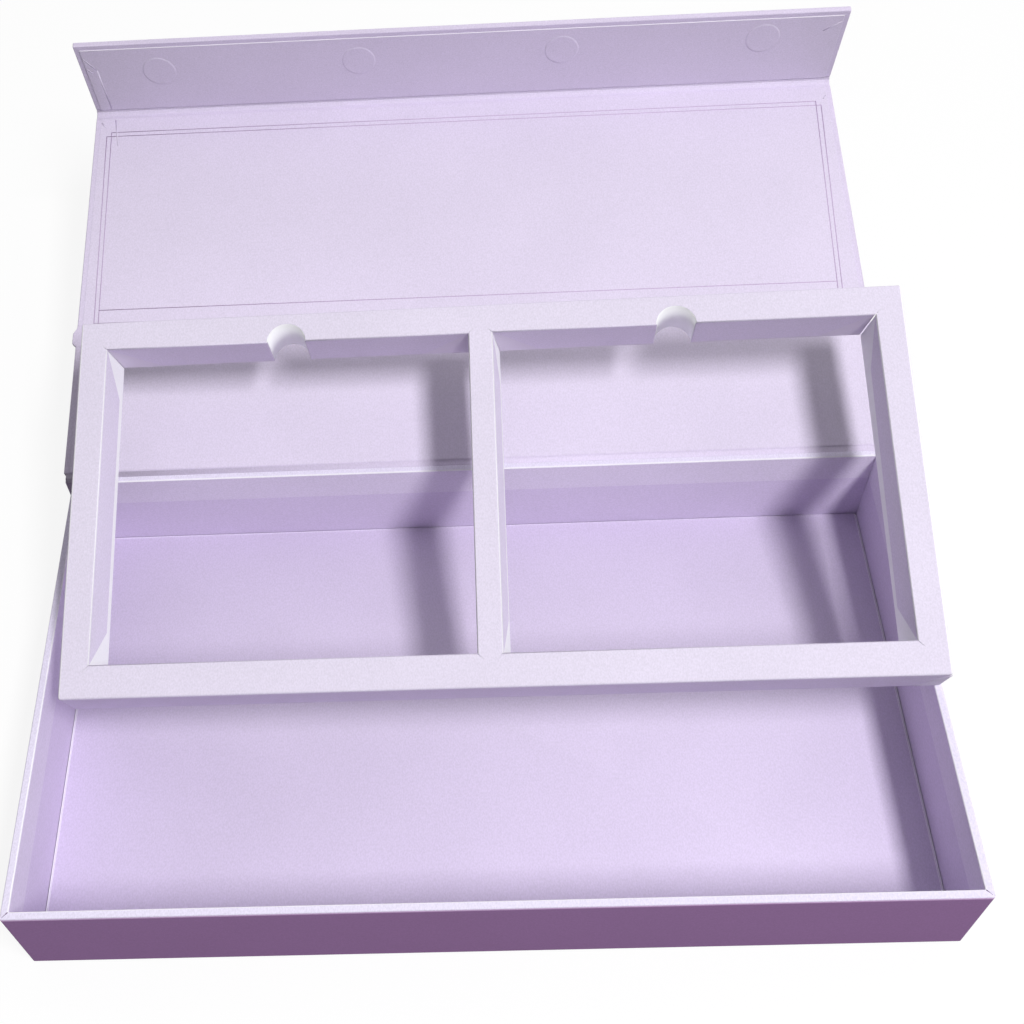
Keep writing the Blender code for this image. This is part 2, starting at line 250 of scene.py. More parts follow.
def add_mix(tree, factor, first, second, blend="MIX"):
    """A colour mix; each of its inputs is a plain value or an output."""
    mix = tree.nodes.new("ShaderNodeMix")
    mix.data_type = "RGBA"
    mix.blend_type = blend
    feed(tree, factor, mix.inputs["Factor"])
    for name, value in (("A", first), ("B", second)):
        feed(tree, value, next(socket for socket in mix.inputs if socket.name == name and socket.type == "RGBA"))
    return next(socket for socket in mix.outputs if socket.type == "RGBA")


def add_range(tree, value, low, high, to_low=0.0, to_high=1.0):
    """Maps low..high of a value to to_low..to_high, and holds it there."""
    node = tree.nodes.new("ShaderNodeMapRange")
    for name, item in zip(("From Min", "From Max", "To Min", "To Max", "Value"), (low, high, to_low, to_high, value)):
        feed(tree, item, node.inputs[name])
    return node.outputs["Result"]


def shade(color, share):
    return (*(part * share for part in color[:3]), 1.0)


WHITE = (1, 1, 1, 1)
# Waves per metre of the papers' clouds, fibres and tooth, and of the streaks in the magnets' plating
CLOUD_SCALE, FIBRE_SCALE, TOOTH_SCALE, STREAK_SCALE = 14, 1700, 1500, 800
FIBRE_STRETCH = (1, 0.6, 1)
STREAK_STRETCH = (0.05, 1, 1)
# The part of the noises' values that the clouds and the fibres are made of
CLOUD_RANGE = (0.35, 0.65)
FIBRE_RANGE = (0.3, 0.7)
TOOTH_HEIGHT = 0.0001
PAPER_ROUGH_SPREAD = 0.05
PAPER_SPECULAR = 0.25


def paper(name, color, roughness=0.78, fibre=0.05, cloud=0.04, bump=0.12, grain=0.13, bands=()):
    """Uncoated paper: soft clouds, short fibres and a fine tooth.

    Half of fibre is the share by which it is darker on the whole, and grain is how much it varies from fibre to fibre.
    Each band turns it to a colour between two heights.
    """
    material, tree, shader = start_material(name, roughness)
    clouds = add_range(tree, add_noise(tree, CLOUD_SCALE, 3), *CLOUD_RANGE)
    fibres = add_range(tree, add_noise(tree, FIBRE_SCALE, 3, FIBRE_STRETCH), *FIBRE_RANGE)
    base = add_mix(tree, clouds, shade(color, 1 - cloud), color)
    if bands:
        place = tree.nodes.new("ShaderNodeTexCoord")
        split = tree.nodes.new("ShaderNodeSeparateXYZ")
        tree.links.new(place.outputs["Object"], split.inputs["Vector"])
        for band_color, low, high in bands:
            base = add_mix(tree, add_range(tree, split.outputs["Z"], low, high), base, band_color)
    level = 1 - fibre / 2
    speckle = add_mix(tree, fibres, shade(WHITE, level - grain / 2), shade(WHITE, level + grain / 2))
    tree.links.new(add_mix(tree, 1.0, base, speckle, "MULTIPLY"), shader.inputs["Base Color"])
    rough = add_range(tree, fibres, 0, 1, roughness - PAPER_ROUGH_SPREAD, roughness + PAPER_ROUGH_SPREAD)
    tree.links.new(rough, shader.inputs["Roughness"])
    relief = tree.nodes.new("ShaderNodeBump")
    relief.inputs["Strength"].default_value = bump
    relief.inputs["Distance"].default_value = TOOTH_HEIGHT
    tree.links.new(add_noise(tree, TOOTH_SCALE, 4), relief.inputs["Height"])
    tree.links.new(relief.outputs["Normal"], shader.inputs["Normal"])
    shader.inputs["Specular IOR Level"].default_value = PAPER_SPECULAR
    return material


SMOOTH_CARD = {"roughness": 0.6, "fibre": 0.02, "cloud": 0.015, "bump": 0.06, "grain": 0.05}
# The tray's outer paper is darker than the paper really is, as painted shade on its walls. Under the rim it
# shows a lighter edge, a painted highlight where the paper bends, and over the rim it is as pale as the case's
RIM_PAINTED_HIGHLIGHT = (srgb(226, 188, 234), TRAY_HEIGHT - 0.0018, TRAY_HEIGHT - 0.0011)
RIM_LIGHT = (srgb(232, 225, 246), TRAY_HEIGHT - 0.0007, TRAY_HEIGHT - 0.0002)

lining_paper = paper("lining_paper", srgb(226, 216, 238))
insert_paper = paper("insert_paper", srgb(228, 220, 239))
floor_paper = paper("floor_paper", srgb(222, 210, 236))
wall_paper = paper("wall_paper", srgb(218, 205, 233))
case_paper = paper("case_paper", srgb(224, 213, 237))
# A near-white paper: painted highlight on edges and bends that catch the light, and a pale band on the floor paper's
# side edges and on the insert paper's cut edges
painted_highlight_and_pale_edge_paper = paper("painted_highlight_and_pale_edge_paper", srgb(245, 242, 250), fibre=0.03, cloud=0.02, bump=0.1, grain=0.06)
# Painted shade for the rim's slits
painted_slit_shade = paper("painted_slit_shade", srgb(120, 96, 132))
# A darker lilac card: painted shade on the back flaps' faces towards the window
painted_shade_card = paper("painted_shade_card", srgb(222, 212, 232), **SMOOTH_CARD)
# Painted shade: the tray's outer paper is darker than it is, with the painted highlight under the rim
painted_shade_tray_paper = paper("painted_shade_tray_paper", srgb(157, 117, 167), grain=0.15, bands=(RIM_PAINTED_HIGHLIGHT, RIM_LIGHT))
border_ink = paper("border_ink", srgb(202, 179, 214), fibre=0.1)
white_card = paper("white_card", srgb(246, 246, 249), **SMOOTH_CARD)
grey_board = paper("grey_board", srgb(168, 164, 158), roughness=0.9, fibre=0.25, cloud=0.12, bump=0.4)


def brushed_steel():
    material, tree, shader = start_material("magnet_steel", 0.3, 1.0)
    streaks = add_range(tree, add_noise(tree, STREAK_SCALE, 3, STREAK_STRETCH), *FIBRE_RANGE)
    tree.links.new(add_mix(tree, streaks, srgb(188, 188, 192), srgb(212, 212, 216)), shader.inputs["Base Color"])
    tree.links.new(add_range(tree, streaks, 0, 1, 0.24, 0.38), shader.inputs["Roughness"])
    return material


magnet_steel = brushed_steel()


def dress_cad_nodes():
    """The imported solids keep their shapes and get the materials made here."""
    looks = {"grey_board": grey_board, "white_card": white_card, "magnet": magnet_steel, "lining_paper": lining_paper,
             "wrap_paper": case_paper}
    for part in frame["record"]["subparts"]:
        mesh = frame["nodes"][part["node"]].data
        mesh.materials.clear()
        mesh.materials.append(looks[part["material_slot"]])


# The tray

RIM_ROUND = 0.0005
FOOT_ROUND = 0.0004
TRAY_CORNER = 0.0008
LEAST_CORNER = 0.0002
# The wrap's outer side: its height and reach under the base, and shares of the wall's height at which it has points
FOOT_HEIGHT = 0.0004
FOOT_TURN = 0.0120
WALL_STOPS = (0.25, 0.5, 0.75, 0.95)
TURN_IN_STOP = 0.004
# The slits where the wrap's two turn-ins meet: how deep they are, and how near to the rim and the inside they start
MITRE_DEPTH = 0.0004
MITRE_NEAR_TOP = 0.0003
MITRE_PAST_INSIDE = 0.0002
MITRE_PAST_TURN_IN = 0.001
# The dark ends of those slits on the rim's two front corners, painted shade in pieces laid on the rim
RIM_SLIT_HALF = 0.00022
RIM_SLIT_REACH = 0.0026
RIM_SLIT_DEPTH = 0.0006
RIM_SLIT_PROUD = 0.00002
# The wall's lining: how far its face is behind the turn-in's, how far it stays below it, and its foot's height
LINING_BEHIND = 0.00016
LINING_BELOW_TURN_IN = 0.0002
LINING_FOOT = CARD_TOP * 0.8
# The floor's paper: its gap to the walls, its corners, and its bevelled edge with a groove, as (inwards, how far below
# its top), of which the highest band is near-white at the sides
FLOOR_GAP = 0.00009
FLOOR_EDGE = 0.0010
FLOOR_CORNER = 0.0006
GROOVE = 0.0002
FLOOR_BEVEL = ((0, GROOVE), (0.00025, 0), (0.0004, GROOVE), (0.0007, GROOVE), (FLOOR_EDGE, 0))
FLOOR_TOP_BAND = 0.00015
BASE_INSET = 0.0060
BASE_CORNER = 0.001


def sweep_tray(name, path, thickness, material, replaced, mitre=None):
    """A sheet that follows the tray's four walls; the path is (outwards from the outer face, height)."""
    shape = bmesh.new()
    rows = []
    for out, height in thicken([Vector(point) for point in path], thickness):
        loop = rounded_rectangle(HALF_TRAY + out, BACK + out, max(TRAY_CORNER + out, LEAST_CORNER))
        row = [Vector((*point, height)) for point in loop]
        if mitre:
            out_shift, down_shift = mitre(out, height)
            for number in range(CORNER_STEPS // 2, len(row), CORNER_STEPS + 1):
                side = Vector((math.copysign(1, row[number].x), math.copysign(1, row[number].y), 0))
                row[number] += side * out_shift + Vector((0, 0, -down_shift))
        rows.append(row)
    loft(shape, rows, along=True)
    piece = make_piece(name, shape, material, replaced)
    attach(piece, "tray")
    return piece


def rim_mitre(out, height):
    """How far a corner's diagonal goes out and down there, for the slit where the wrap's two turn-ins meet."""
    if height > TRAY_HEIGHT - MITRE_NEAR_TOP and out < -MITRE_NEAR_TOP:
        return 0, MITRE_DEPTH
    if out < -WALL + MITRE_PAST_INSIDE and height > TRAY_HEIGHT - RIM_TURN_IN - MITRE_PAST_TURN_IN:
        return MITRE_DEPTH, 0
    return 0, 0


def inside_by(point, depth):
    return abs(point.x) < HALF_TRAY - depth and abs(point.y) < BACK - depth


def make_tray():
    """The outer wrap with its turn-in, the wall's lining, the floor's paper and the one under the base."""
    foot, top, quarter = FOOT_HEIGHT + FOOT_ROUND, TRAY_HEIGHT, arc(0, 90, 3)
    path = [(-FOOT_TURN, FOOT_HEIGHT), (-FOOT_TURN / 2, FOOT_HEIGHT)]
    path += [(-FOOT_ROUND + FOOT_ROUND * math.sin(a), foot - FOOT_ROUND * math.cos(a)) for a in quarter]
    path += [(0, share * top) for share in WALL_STOPS]
    path += [(-RIM_ROUND + RIM_ROUND * math.cos(a), top - RIM_ROUND + RIM_ROUND * math.sin(a)) for a in quarter]
    inner = -WALL + RIM_ROUND
    path += [(inner - RIM_ROUND * math.sin(a), top - RIM_ROUND + RIM_ROUND * math.cos(a)) for a in quarter]
    path += [(-WALL, top - TURN_IN_STOP), (-WALL, top - RIM_TURN_IN)]
    cover = sweep_tray("tray_cover", path, SHEET, painted_shade_tray_paper, ["tray_wrap"], rim_mitre)
    # The turn-in inside has the paper's own pale colour, unlike the painted shade on the outer side
    give_faces(cover, lining_paper, lambda point: inside_by(point, WALL * 0.9) and point.z > TRAY_HEIGHT / 2)
    # The rounding of the rim's inner edge gets a painted highlight
    give_faces(cover, painted_highlight_and_pale_edge_paper, lambda point: (inside_by(point, WALL - RIM_ROUND * 0.99)
                                                 and point.z > TRAY_HEIGHT - RIM_ROUND))

    out = -WALL + LINING_BEHIND
    lining = [(out, top - RIM_TURN_IN + LINING_BELOW_TURN_IN), (out, LINING_FOOT)]
    lining = sweep_tray("tray_lining", lining, THIN_SHEET, wall_paper, ["tray_wall_lining"])

    shape = bmesh.new()
    edge = WALL + FLOOR_GAP
    rows = []
    for inset, height in [(0, CARD_TOP)] + [(inset, FLOOR - below) for inset, below in FLOOR_BEVEL]:
        loop = rounded_rectangle(HALF_TRAY - edge - inset, BACK - edge - inset, FLOOR_CORNER + FLOOR_EDGE - inset)
        rows.append([Vector((*point, height)) for point in loop])
    loft(shape, rows)
    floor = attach(make_piece("tray_floor_sheet", shape, floor_paper, ["tray_floor_paper"]), "tray")
    give_faces(floor, painted_highlight_and_pale_edge_paper, lambda point: (abs(point.x) > HALF_TRAY - edge - FLOOR_EDGE
                                                 and point.z > FLOOR - FLOOR_TOP_BAND))

    shape = bmesh.new()
    loop = rounded_rectangle(HALF_TRAY - BASE_INSET, BACK - BASE_INSET, BASE_CORNER)
    loft(shape, [[Vector((*point, height)) for point in loop] for height in (0, SHEET)])
    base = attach(make_piece("tray_base_sheet", shape, case_paper, ["tray_base_paper"]), "tray")


def make_rim_slits():
    """Dark pieces at the two front corners of the rim: painted shade in the slits where the wrap's turn-ins don't
    quite meet.
    """
    shape = bmesh.new()
    inner, top = WALL - RIM_ROUND * 0.5, TRAY_HEIGHT + RIM_SLIT_PROUD
    for side in (-1, 1):
        corner = Vector((side * (HALF_TRAY - inner), -BACK + inner))
        out = Vector((side, -1)).normalized()
        across = Vector((-out.y, out.x)) * RIM_SLIT_HALF
        outline = [corner - across, corner + across, corner + out * RIM_SLIT_REACH]
        loft(shape, [[Vector((*point, height)) for point in outline] for height in (top - RIM_SLIT_DEPTH, top)])
    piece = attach(make_piece("rim_slits", shape, painted_slit_shade), "tray")


# The spine and the rear hinge

# How far the spine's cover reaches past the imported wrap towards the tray
SPINE_PROUD = 0.0001
# The strips across the rear hinge: their thickness and their paths as (back, up), the inner one's from the tray's back
# and top, and the outer one's from the spine's; each then goes to the lid's edge
STRIP = 0.0001
INNER_STRIP = ((0.00012, -0.0030), (0.00012, -0.0007), (0.0004, -0.0004), (0.0012, -0.0002), (0.0018, 0))
OUTER_STRIP = ((-0.0001, -0.0008), (-0.0001, 0.00005), (-0.0020, 0.0001), (-0.0025, 0.0006), (-0.0024, 0.0014),
               (-0.0016, 0.0018), (-0.0006, 0.0012))
# The longest step along them, and how far they stay inside the case's sides
INNER_STEP, OUTER_STEP = 0.0003, 0.0002
INNER_IN, OUTER_IN = 0.001, 0.0006


def rounded_ends(low, high, radius):
    """(place, how far the section draws in) at both rounded ends of a bar that runs from low to high."""
    near = [(low + radius * (1 - math.sin(a)), radius * (1 - math.cos(a))) for a in arc(90, 0, 3)]
    far = [(high - radius * (1 - math.sin(a)), radius * (1 - math.cos(a))) for a in arc(0, 90, 3)]
    return near + far


def make_spine():
    shape = bmesh.new()
    low = SPINE_LOW - Vector((0, SPINE_PROUD, 0))
    middle = (low + SPINE_HIGH) / 2
    half_y, half_z = (SPINE_HIGH.y - low.y) / 2, (SPINE_HIGH.z - low.z) / 2
    rows = []
    for x, inset in rounded_ends(-HALF_CASE, HALF_CASE, CASE_EDGE):
        section = rounded_rectangle(half_y - inset, half_z - inset, max(CASE_EDGE - inset, LEAST_CORNER))
        rows.append([Vector((x, middle.y + point.x, middle.z + point.y)) for point in section])
    loft(shape, rows)
    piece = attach(make_piece("spine_cover", shape, case_paper, ["spine_wrap"]), "tray")


def hinge_strip(name, path, half_width, replaced=()):
    """A strip of wrap across the rear hinge, its two ends on the two bodies; the path is (y, height)."""
    shape = bmesh.new()
    outline = thicken(path, STRIP)
    loft(shape, [[Vector((x, *point)) for point in outline] for x in (-half_width, half_width)])
    piece = make_piece(name, shape, case_paper, replaced)
    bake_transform(piece)


def spread(path, longest):
    """The path with points put in so that no step is longer than that."""
    points = [Vector(path[0])]
    for target in path[1:]:
        target = Vector(target)
        start = points[-1]
        steps = max(1, math.ceil((target - start).length / longest))
        points += [start.lerp(target, step / steps) for step in range(1, steps + 1)]
    return points


def make_rear_hinge():
    """The inner strip lies in a trough behind the rim, and the outer one is folded into the gap over the spine."""
    edge, corner = case_point(0, HINGE_EDGE, 0), case_point(0, HINGE_EDGE, CASE)
    path = [(BACK + back, TRAY_HEIGHT + up) for back, up in INNER_STRIP] + [(edge.y, edge.z - STRIP)]
    hinge_strip("hinge_inner_strip", spread(path, INNER_STEP), HALF_CASE - INNER_IN,
                ["rear_hinge"])
    top, outer = SPINE_HIGH.z, SPINE_HIGH.y
    path = [(outer + back, top + up) for back, up in OUTER_STRIP] + [(corner.y - STRIP, corner.z + STRIP)]
    hinge_strip("hinge_outer_strip", spread(path, OUTER_STEP), HALF_CASE - OUTER_IN)


# The case: the lid's two panels and the flap

# At the fold: how deep the papers are pressed in and over what length, and how far they bulge at the case's sides
FOLD_PRESS = 0.0007
PRESS_EASE = 0.0016
FOLD_BULGE = 0.0020
NEAR_SWELL = 0.0028
FAR_SWELL = 0.0045
# Grooves across the case on both sides of the crease: middle along it, half width, depth
BAND, FOOT_BAND = 0.0034, 0.0012
GROOVES = ((CREASE_START - BAND / 2, BAND / 2, 0.0004), (CREASE_END + FOOT_BAND / 2, FOOT_BAND / 2, 0.0005))
GROOVE_EASE = 1.6
# Where the sections change before the crease and after it, and before the flap's end
BAND_START = CREASE_START - 0.0040
FLAP_FOOT = CREASE_END + 0.0014
FLAP_LAST = CASE_END - 0.004
FLAP_COVER_BELOW = 0.00035
# The linings' edges: square at the panels, bevelled at the flap, and how far the rear one stays from the hinge's edge
LINING_EDGE = THIN_SHEET / 2
FLAP_EDGE = 0.00018
LINING_FROM_EDGE = 0.0006


def case_point(x, along, depth):
    """A point of the case: along its inner face from the hinge, round the crease and up the flap, depth into it."""
    if along <= CREASE_START:
        out, up = along, -depth
    elif along < CREASE_END:
        angle = (along - CREASE_START) / CREASE_RADIUS
        radius = CREASE_RADIUS + depth
        out, up = CREASE_START + radius * math.sin(angle), CREASE_RADIUS - radius * math.cos(angle)
    else:
        out, up = LID_LENGTH + depth, CREASE_RADIUS + along - CREASE_END
    return HINGE + Vector((x, 0, 0)) + ALONG_LID * out + OFF_LID * up


def press(along):
    """How deep the papers are pressed into the gap at the fold."""
    return FOLD_PRESS * smooth_step((FOLD_GAP / 2 - abs(along - FOLD)) / PRESS_EASE)


def dip(along):
    """The narrow grooves on both sides of the flap's crease."""
    return max(depth * smooth_step(GROOVE_EASE * (1 - abs(along - middle) / half)) for middle, half, depth in GROOVES)


def swell(along):
    """How far the case bulges at both sides of the fold."""
    near = smooth_step((along - FOLD + FOLD_GAP / 2) / NEAR_SWELL)
    return FOLD_BULGE * near * smooth_step((FOLD + FOLD_GAP / 2 - along) / FAR_SWELL)


def no_inset(along):
    return 0.0


def case_sections(stops, inset=no_inset, top=COVER_BELOW, thickness=None, half_width=HALF_CASE, edge=CASE_EDGE):
    """Closed sections of the case, or of a sheet of that thickness on its inner face, at each stop along it."""
    rows = []
    for along in stops:
        draw_in = inset(along)
        upper = top + press(along) + dip(along)
        lower = CASE - press(along) if thickness is None else upper + thickness
        bulge = swell(along) if thickness is None else 0
        half_y = (lower - upper) / 2 - draw_in
        radius = max(min(edge, half_y * 0.9) - draw_in, half_y * 0.3)
        section = rounded_rectangle(half_width + bulge - draw_in, half_y, radius)
        rows.append([case_point(point.x, along, (upper + lower) / 2 + point.y) for point in section])
    return rows


def end_inset(end, radius):
    """How far a section draws in near a rounded end."""
    def inset(along):
        near = max(0.0, 1 - abs(end - along) / radius)
        return radius * (1 - math.sqrt(max(0.0, 1 - near * near)))
    return inset


def between(low, high, steps):
    return [low + (high - low) * step / steps for step in range(steps + 1)]


def make_case():
    """The outer paper and the lining of the lid's two panels and the flap, and the pieces that bend between them."""
    fold_low, fold_high = FOLD - FOLD_GAP / 2, FOLD + FOLD_GAP / 2
    rear = between(HINGE_EDGE, HINGE_EDGE + CASE_EDGE, 4) + [fold_low]
    fold = between(fold_low, fold_high, 24)
    front = [fold_high, BAND_START] + between(CREASE_START - BAND, CREASE_START, 12)
    crease = between(CREASE_START, CREASE_END, 8)
    foot = between(CREASE_END, FLAP_FOOT, 7)
    flap = foot[1:] + [FLAP_LAST] + between(CASE_END - CASE_EDGE, CASE_END, 4)
    covers = (("lid_rear_cover", rear, end_inset(HINGE_EDGE, CASE_EDGE), ["lid_rear_wrap"], ("lid_rear",)),
              ("fold_cover", fold, no_inset, [], ("lid_rear", "lid_front")),
              ("lid_front_cover", front, no_inset, ["lid_front_wrap"], ("lid_front",)),
              ("crease_cover", crease, no_inset, ["flap_hinge"], ("lid_front", "flap")),
              ("flap_cover", flap, end_inset(CASE_END, CASE_EDGE), ["flap_wrap"], ("flap",)))
    for name, stops, inset, replaced, bodies in covers:
        shape = bmesh.new()
        on_flap = bodies == ("flap",)
        rows = case_sections([CREASE_END]) if on_flap else []
        rows += case_sections(stops, inset, top=FLAP_COVER_BELOW if on_flap else COVER_BELOW)
        loft(shape, rows)
        piece = make_piece(name, shape, case_paper, replaced)
        settle(piece, bodies)

    half_lining = HALF_CASE - CASE_RIM
    lining_end = CASE_END - CASE_RIM
    sheets = (("lid_rear_sheet", [HINGE_EDGE + LINING_FROM_EDGE, fold_low], ["lid_rear_lining"], ("lid_rear",)),
              ("fold_sheet", fold, [], ("lid_rear", "lid_front")),
              ("lid_front_sheet", front, ["lid_front_lining"], ("lid_front",)),
              ("crease_sheet", crease, [], ("lid_front", "flap")),
              ("flap_sheet", foot, ["flap_lining"], ("flap",)))
    for name, stops, replaced, bodies in sheets:
        shape = bmesh.new()
        rows = case_sections(stops, no_inset, -LINING_PROUD, THIN_SHEET, half_lining, LINING_EDGE)
        on_flap = bodies == ("flap",)
        if on_flap:
            rows += case_sections(between(lining_end - FLAP_EDGE, lining_end, 3), end_inset(lining_end, FLAP_EDGE),
                                  -LINING_PROUD, 2 * THIN_SHEET, half_lining, FLAP_EDGE)
        loft(shape, rows)
        piece = make_piece(name, shape, lining_paper, replaced)
        if on_flap:
            top = CREASE_RADIUS + lining_end - CREASE_END
            # The flap lining's bevelled far edge and its sides get a painted highlight
            give_faces(piece, painted_highlight_and_pale_edge_paper, lambda point: ((point - HINGE).dot(OFF_LID) > top - FLAP_EDGE
                                                         or abs(point.x) > half_lining - FLAP_EDGE / 2))
        settle(piece, bodies)


def settle(piece, bodies):
    """Rides on one body, or is left in place where it lies between two."""
    if len(bodies) == 1:
        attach(piece, bodies[0])
    else:
        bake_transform(piece)


# The marks over the flap's magnets: their middles as (x, up the flap), half sizes, height, and how wide their rim is
MARKS = ((-0.1424, 0.0276), (-0.0472, 0.0284), (0.0484, 0.0296), (0.1418, 0.0309))
MARK_HALF_X, MARK_HALF_UP = 0.0080, 0.0092
MARK_HEIGHT = 0.00023
MARK_RIM = 0.0006
MARK_RINGS = (0.3, 0.7, 0.88, 0.92, 0.95, 0.98, 1.0)
MARK_BELOW = 0.00002
MARK_ROOT = 0.0001


def make_magnet_marks():
    """Low domes in the flap's lining over its magnets."""
    shape = bmesh.new()
    turn = arc(0, 360, 48)[:-1]
    for x, up in MARKS:
        middle = CREASE_END - CREASE_RADIUS + up
        rings = [(share, -LINING_PROUD - MARK_HEIGHT * smooth_step((1 - share) * MARK_HALF_X / MARK_RIM) + MARK_BELOW)
                 for share in MARK_RINGS]
        rows = []
        for share, depth in rings + [(1.0, MARK_ROOT)]:
            rows.append([case_point(x + MARK_HALF_X * share * math.cos(angle),
                                    middle + MARK_HALF_UP * share * math.sin(angle), depth) for angle in turn])
        loft(shape, rows)
    for face in shape.faces:
        face.smooth = True
    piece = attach(make_piece("magnet_marks", shape, lining_paper), "flap")


BORDER_WIDTH = 0.0004
BORDER_PROUD = 0.00003
# The printed border's lines, from one place (x, along) to another
BORDER = (((-0.1712, 0.1859), (0.1712, 0.1859)), ((-0.1735, 0.1835), (0.1735, 0.1835)),
          ((-0.1712, 0.1859), (-0.1698, 0.0770)), ((-0.1735, 0.1835), (-0.1718, 0.0770)),
          ((0.1712, 0.1859), (0.1673, 0.0770)), ((0.1735, 0.1835), (0.1693, 0.0770)),
          ((-0.1699, 0.0840), (0.1675, 0.0840)), ((-0.1718, 0.0770), (0.1693, 0.0770)))


def line_sides(first, second, half):
    """Both ends of a line as vectors, its direction, and the step from it to its left side."""
    first, second = Vector(first), Vector(second)
    along = (second - first).normalized()
    return first, second, along, Vector((-along.y, along.x)) * half


def make_border():
    """A plain double line printed round the front panel, its corners crossing."""
    shape = bmesh.new()
    for line in BORDER:
        first, second, along, side = line_sides(*line, BORDER_WIDTH / 2)
        first, second = first - along * BORDER_WIDTH / 2, second + along * BORDER_WIDTH / 2
        outline = [first - side, second - side, second + side, first + side]
        loft(shape, [[case_point(*point, depth) for point in outline]
                     for depth in (0, -LINING_PROUD - BORDER_PROUD)])
    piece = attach(make_piece("lid_border", shape, border_ink), "lid_front")


RIDGE_HALF = 0.0006
RIDGE_HEIGHT = 0.00007
# Where the turned-in wrap shows through the lining: places (x, along), in order
FLAP_RIDGES = (((-0.1765, 0.2360), (-0.1719, 0.2282), (-0.1714, 0.2010)), ((-0.1765, 0.2290), (-0.1740, 0.2264)),
               ((0.1765, 0.2378), (0.1691, 0.2323)))
LID_RIDGES = (((-0.1765, 0.1920), (-0.1738, 0.1886)), ((-0.1697, 0.1936), (-0.1676, 0.1777)),
              ((0.1765, 0.1893), (0.1750, 0.1871)))


def make_ridges():
    """Low ridges where the edges of the turned-in wrap lie under the lining."""
    for name, body, paths in (("flap_ridges", "flap", FLAP_RIDGES), ("lid_ridges", "lid_front", LID_RIDGES)):
        shape = bmesh.new()
        for path in paths:
            for line in zip(path, path[1:]):
                first, second, _, side = line_sides(*line, RIDGE_HALF)
                loft(shape, [[case_point(*(point + side), 0), case_point(*point, -LINING_PROUD - RIDGE_HEIGHT),
                              case_point(*(point - side), 0)] for point in (first, second)])
        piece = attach(make_piece(name, shape, lining_paper), body)


# The insert

# How the paper bends over the outer edges and into the windows, and its hem inside the skirts
INSERT_EDGE = 0.0008
INSERT_CORNER = 0.0012
TOP_CORNER = 2 * LEAST_CORNER
WINDOW_BEND = 0.0005
SKIRT_STOPS = (-0.006, -0.012)
HEM = 0.0015
HEM_HEIGHT = 0.0175
# The paper's slits at the windows' corners, and its tabs on their sides: how far they are mitred for each metre of
# depth, and how deep they go
SLIT_WIDTH = 0.0003
SLIT_LENGTH = 0.0036
TAB_MITRE = 1.08
WIDE_MITRE = 1.6
FULL_TAB = WINDOW_FLAP - 0.0002
SIDE_TAB = 0.0154
SHORT_SIDE_TAB = SIDE_TAB - 0.0035
BACK_TAB = 0.0176
TAB_STOPS = (0.33, 0.66, 1.0)
NOTCH_SET_BACK = 0.00035
# Which of the insert's paper faces get a painted highlight, and which the case's darker paper as painted shade:
# heights from the top, and how near
HIGHLIGHT_TOP = 0.00001
PAINTED_SHADE_TOP = -0.001
PAINTED_SHADE_NEAR = 0.0003
INSERT_CARD = 0.0010
# How far each window's left and right flap lean into it at their lower edges, how far from them that is felt, and
# the share of that distance over which it fades
LEANS = ((0.0022, 0.0002), (0.0028, 0.0020))
LEAN_REACH = 0.012
LEAN_FADE = 0.8
CARD_BEHIND_PAPER = 0.00025
FLAP_GAP = 0.0003
NOTCH_STEPS = 24
# The skirt tab's corners, as (inwards from the right side, height), and the y of its two faces
SKIRT_TAB = ((0.0002, -0.0010), (0.0002, -0.0195), (0.0100, -0.0195))
SKIRT_TAB_FACES = (-0.00012, 0.00005)


def insert_loop(out, corner):
    """The insert's outline in its own frame, moved outwards."""
    middle = Vector((0, INSERT_DEPTH / 2))
    return [point + middle for point in rounded_rectangle(INSERT_HALF + out, INSERT_DEPTH / 2 + out, corner)]


def window_corners(window, out):
    left, right, _ = window
    return [Vector(point) for point in ((left - out, WINDOW_FRONT - out), (right + out, WINDOW_FRONT - out),
                                        (right + out, WINDOW_BACK + out), (left - out, WINDOW_BACK + out))]


def notch_arc(window, radius, line):
    """Points round a thumb notch from its right end to its left one, where it meets a line parallel to the window."""
    low = math.degrees(math.asin((line - WINDOW_BACK) / radius))
    return [Vector((window[2] + radius * math.cos(a), WINDOW_BACK + radius * math.sin(a)))
            for a in arc(low, 180 - low, NOTCH_STEPS)]


def lean(window, point):
    """The point moved sideways with the leaning flap that is next to it."""
    share = max(0.0, -point.z / WINDOW_FLAP)
    for side, edge, far in zip((1, -1), window[:2], LEANS[WINDOWS.index(window)]):
        near = max(0.0, 1 - abs(point.x - edge) / LEAN_REACH)
        point = point + Vector((side * far * share * min(1.0, near / LEAN_FADE), 0, 0))
    return point


def window_loop(window):
    """The cut edge of the top sheet: four sides, a slit at each corner and the notch in the back side."""
    corners = window_corners(window, WINDOW_BEND)
    points = []
    for number, corner in enumerate(corners):
        before = (corners[number - 1] - corner).normalized()
        after = (corners[(number + 1) % 4] - corner).normalized()
        points += [corner + before * SLIT_WIDTH / 2, corner - (before + after).normalized() * SLIT_LENGTH,
                   corner + after * SLIT_WIDTH / 2]
        if number == 2:
            points += notch_arc(window, NOTCH_RADIUS + NOTCH_SET_BACK, WINDOW_BACK + WINDOW_BEND)
    return points


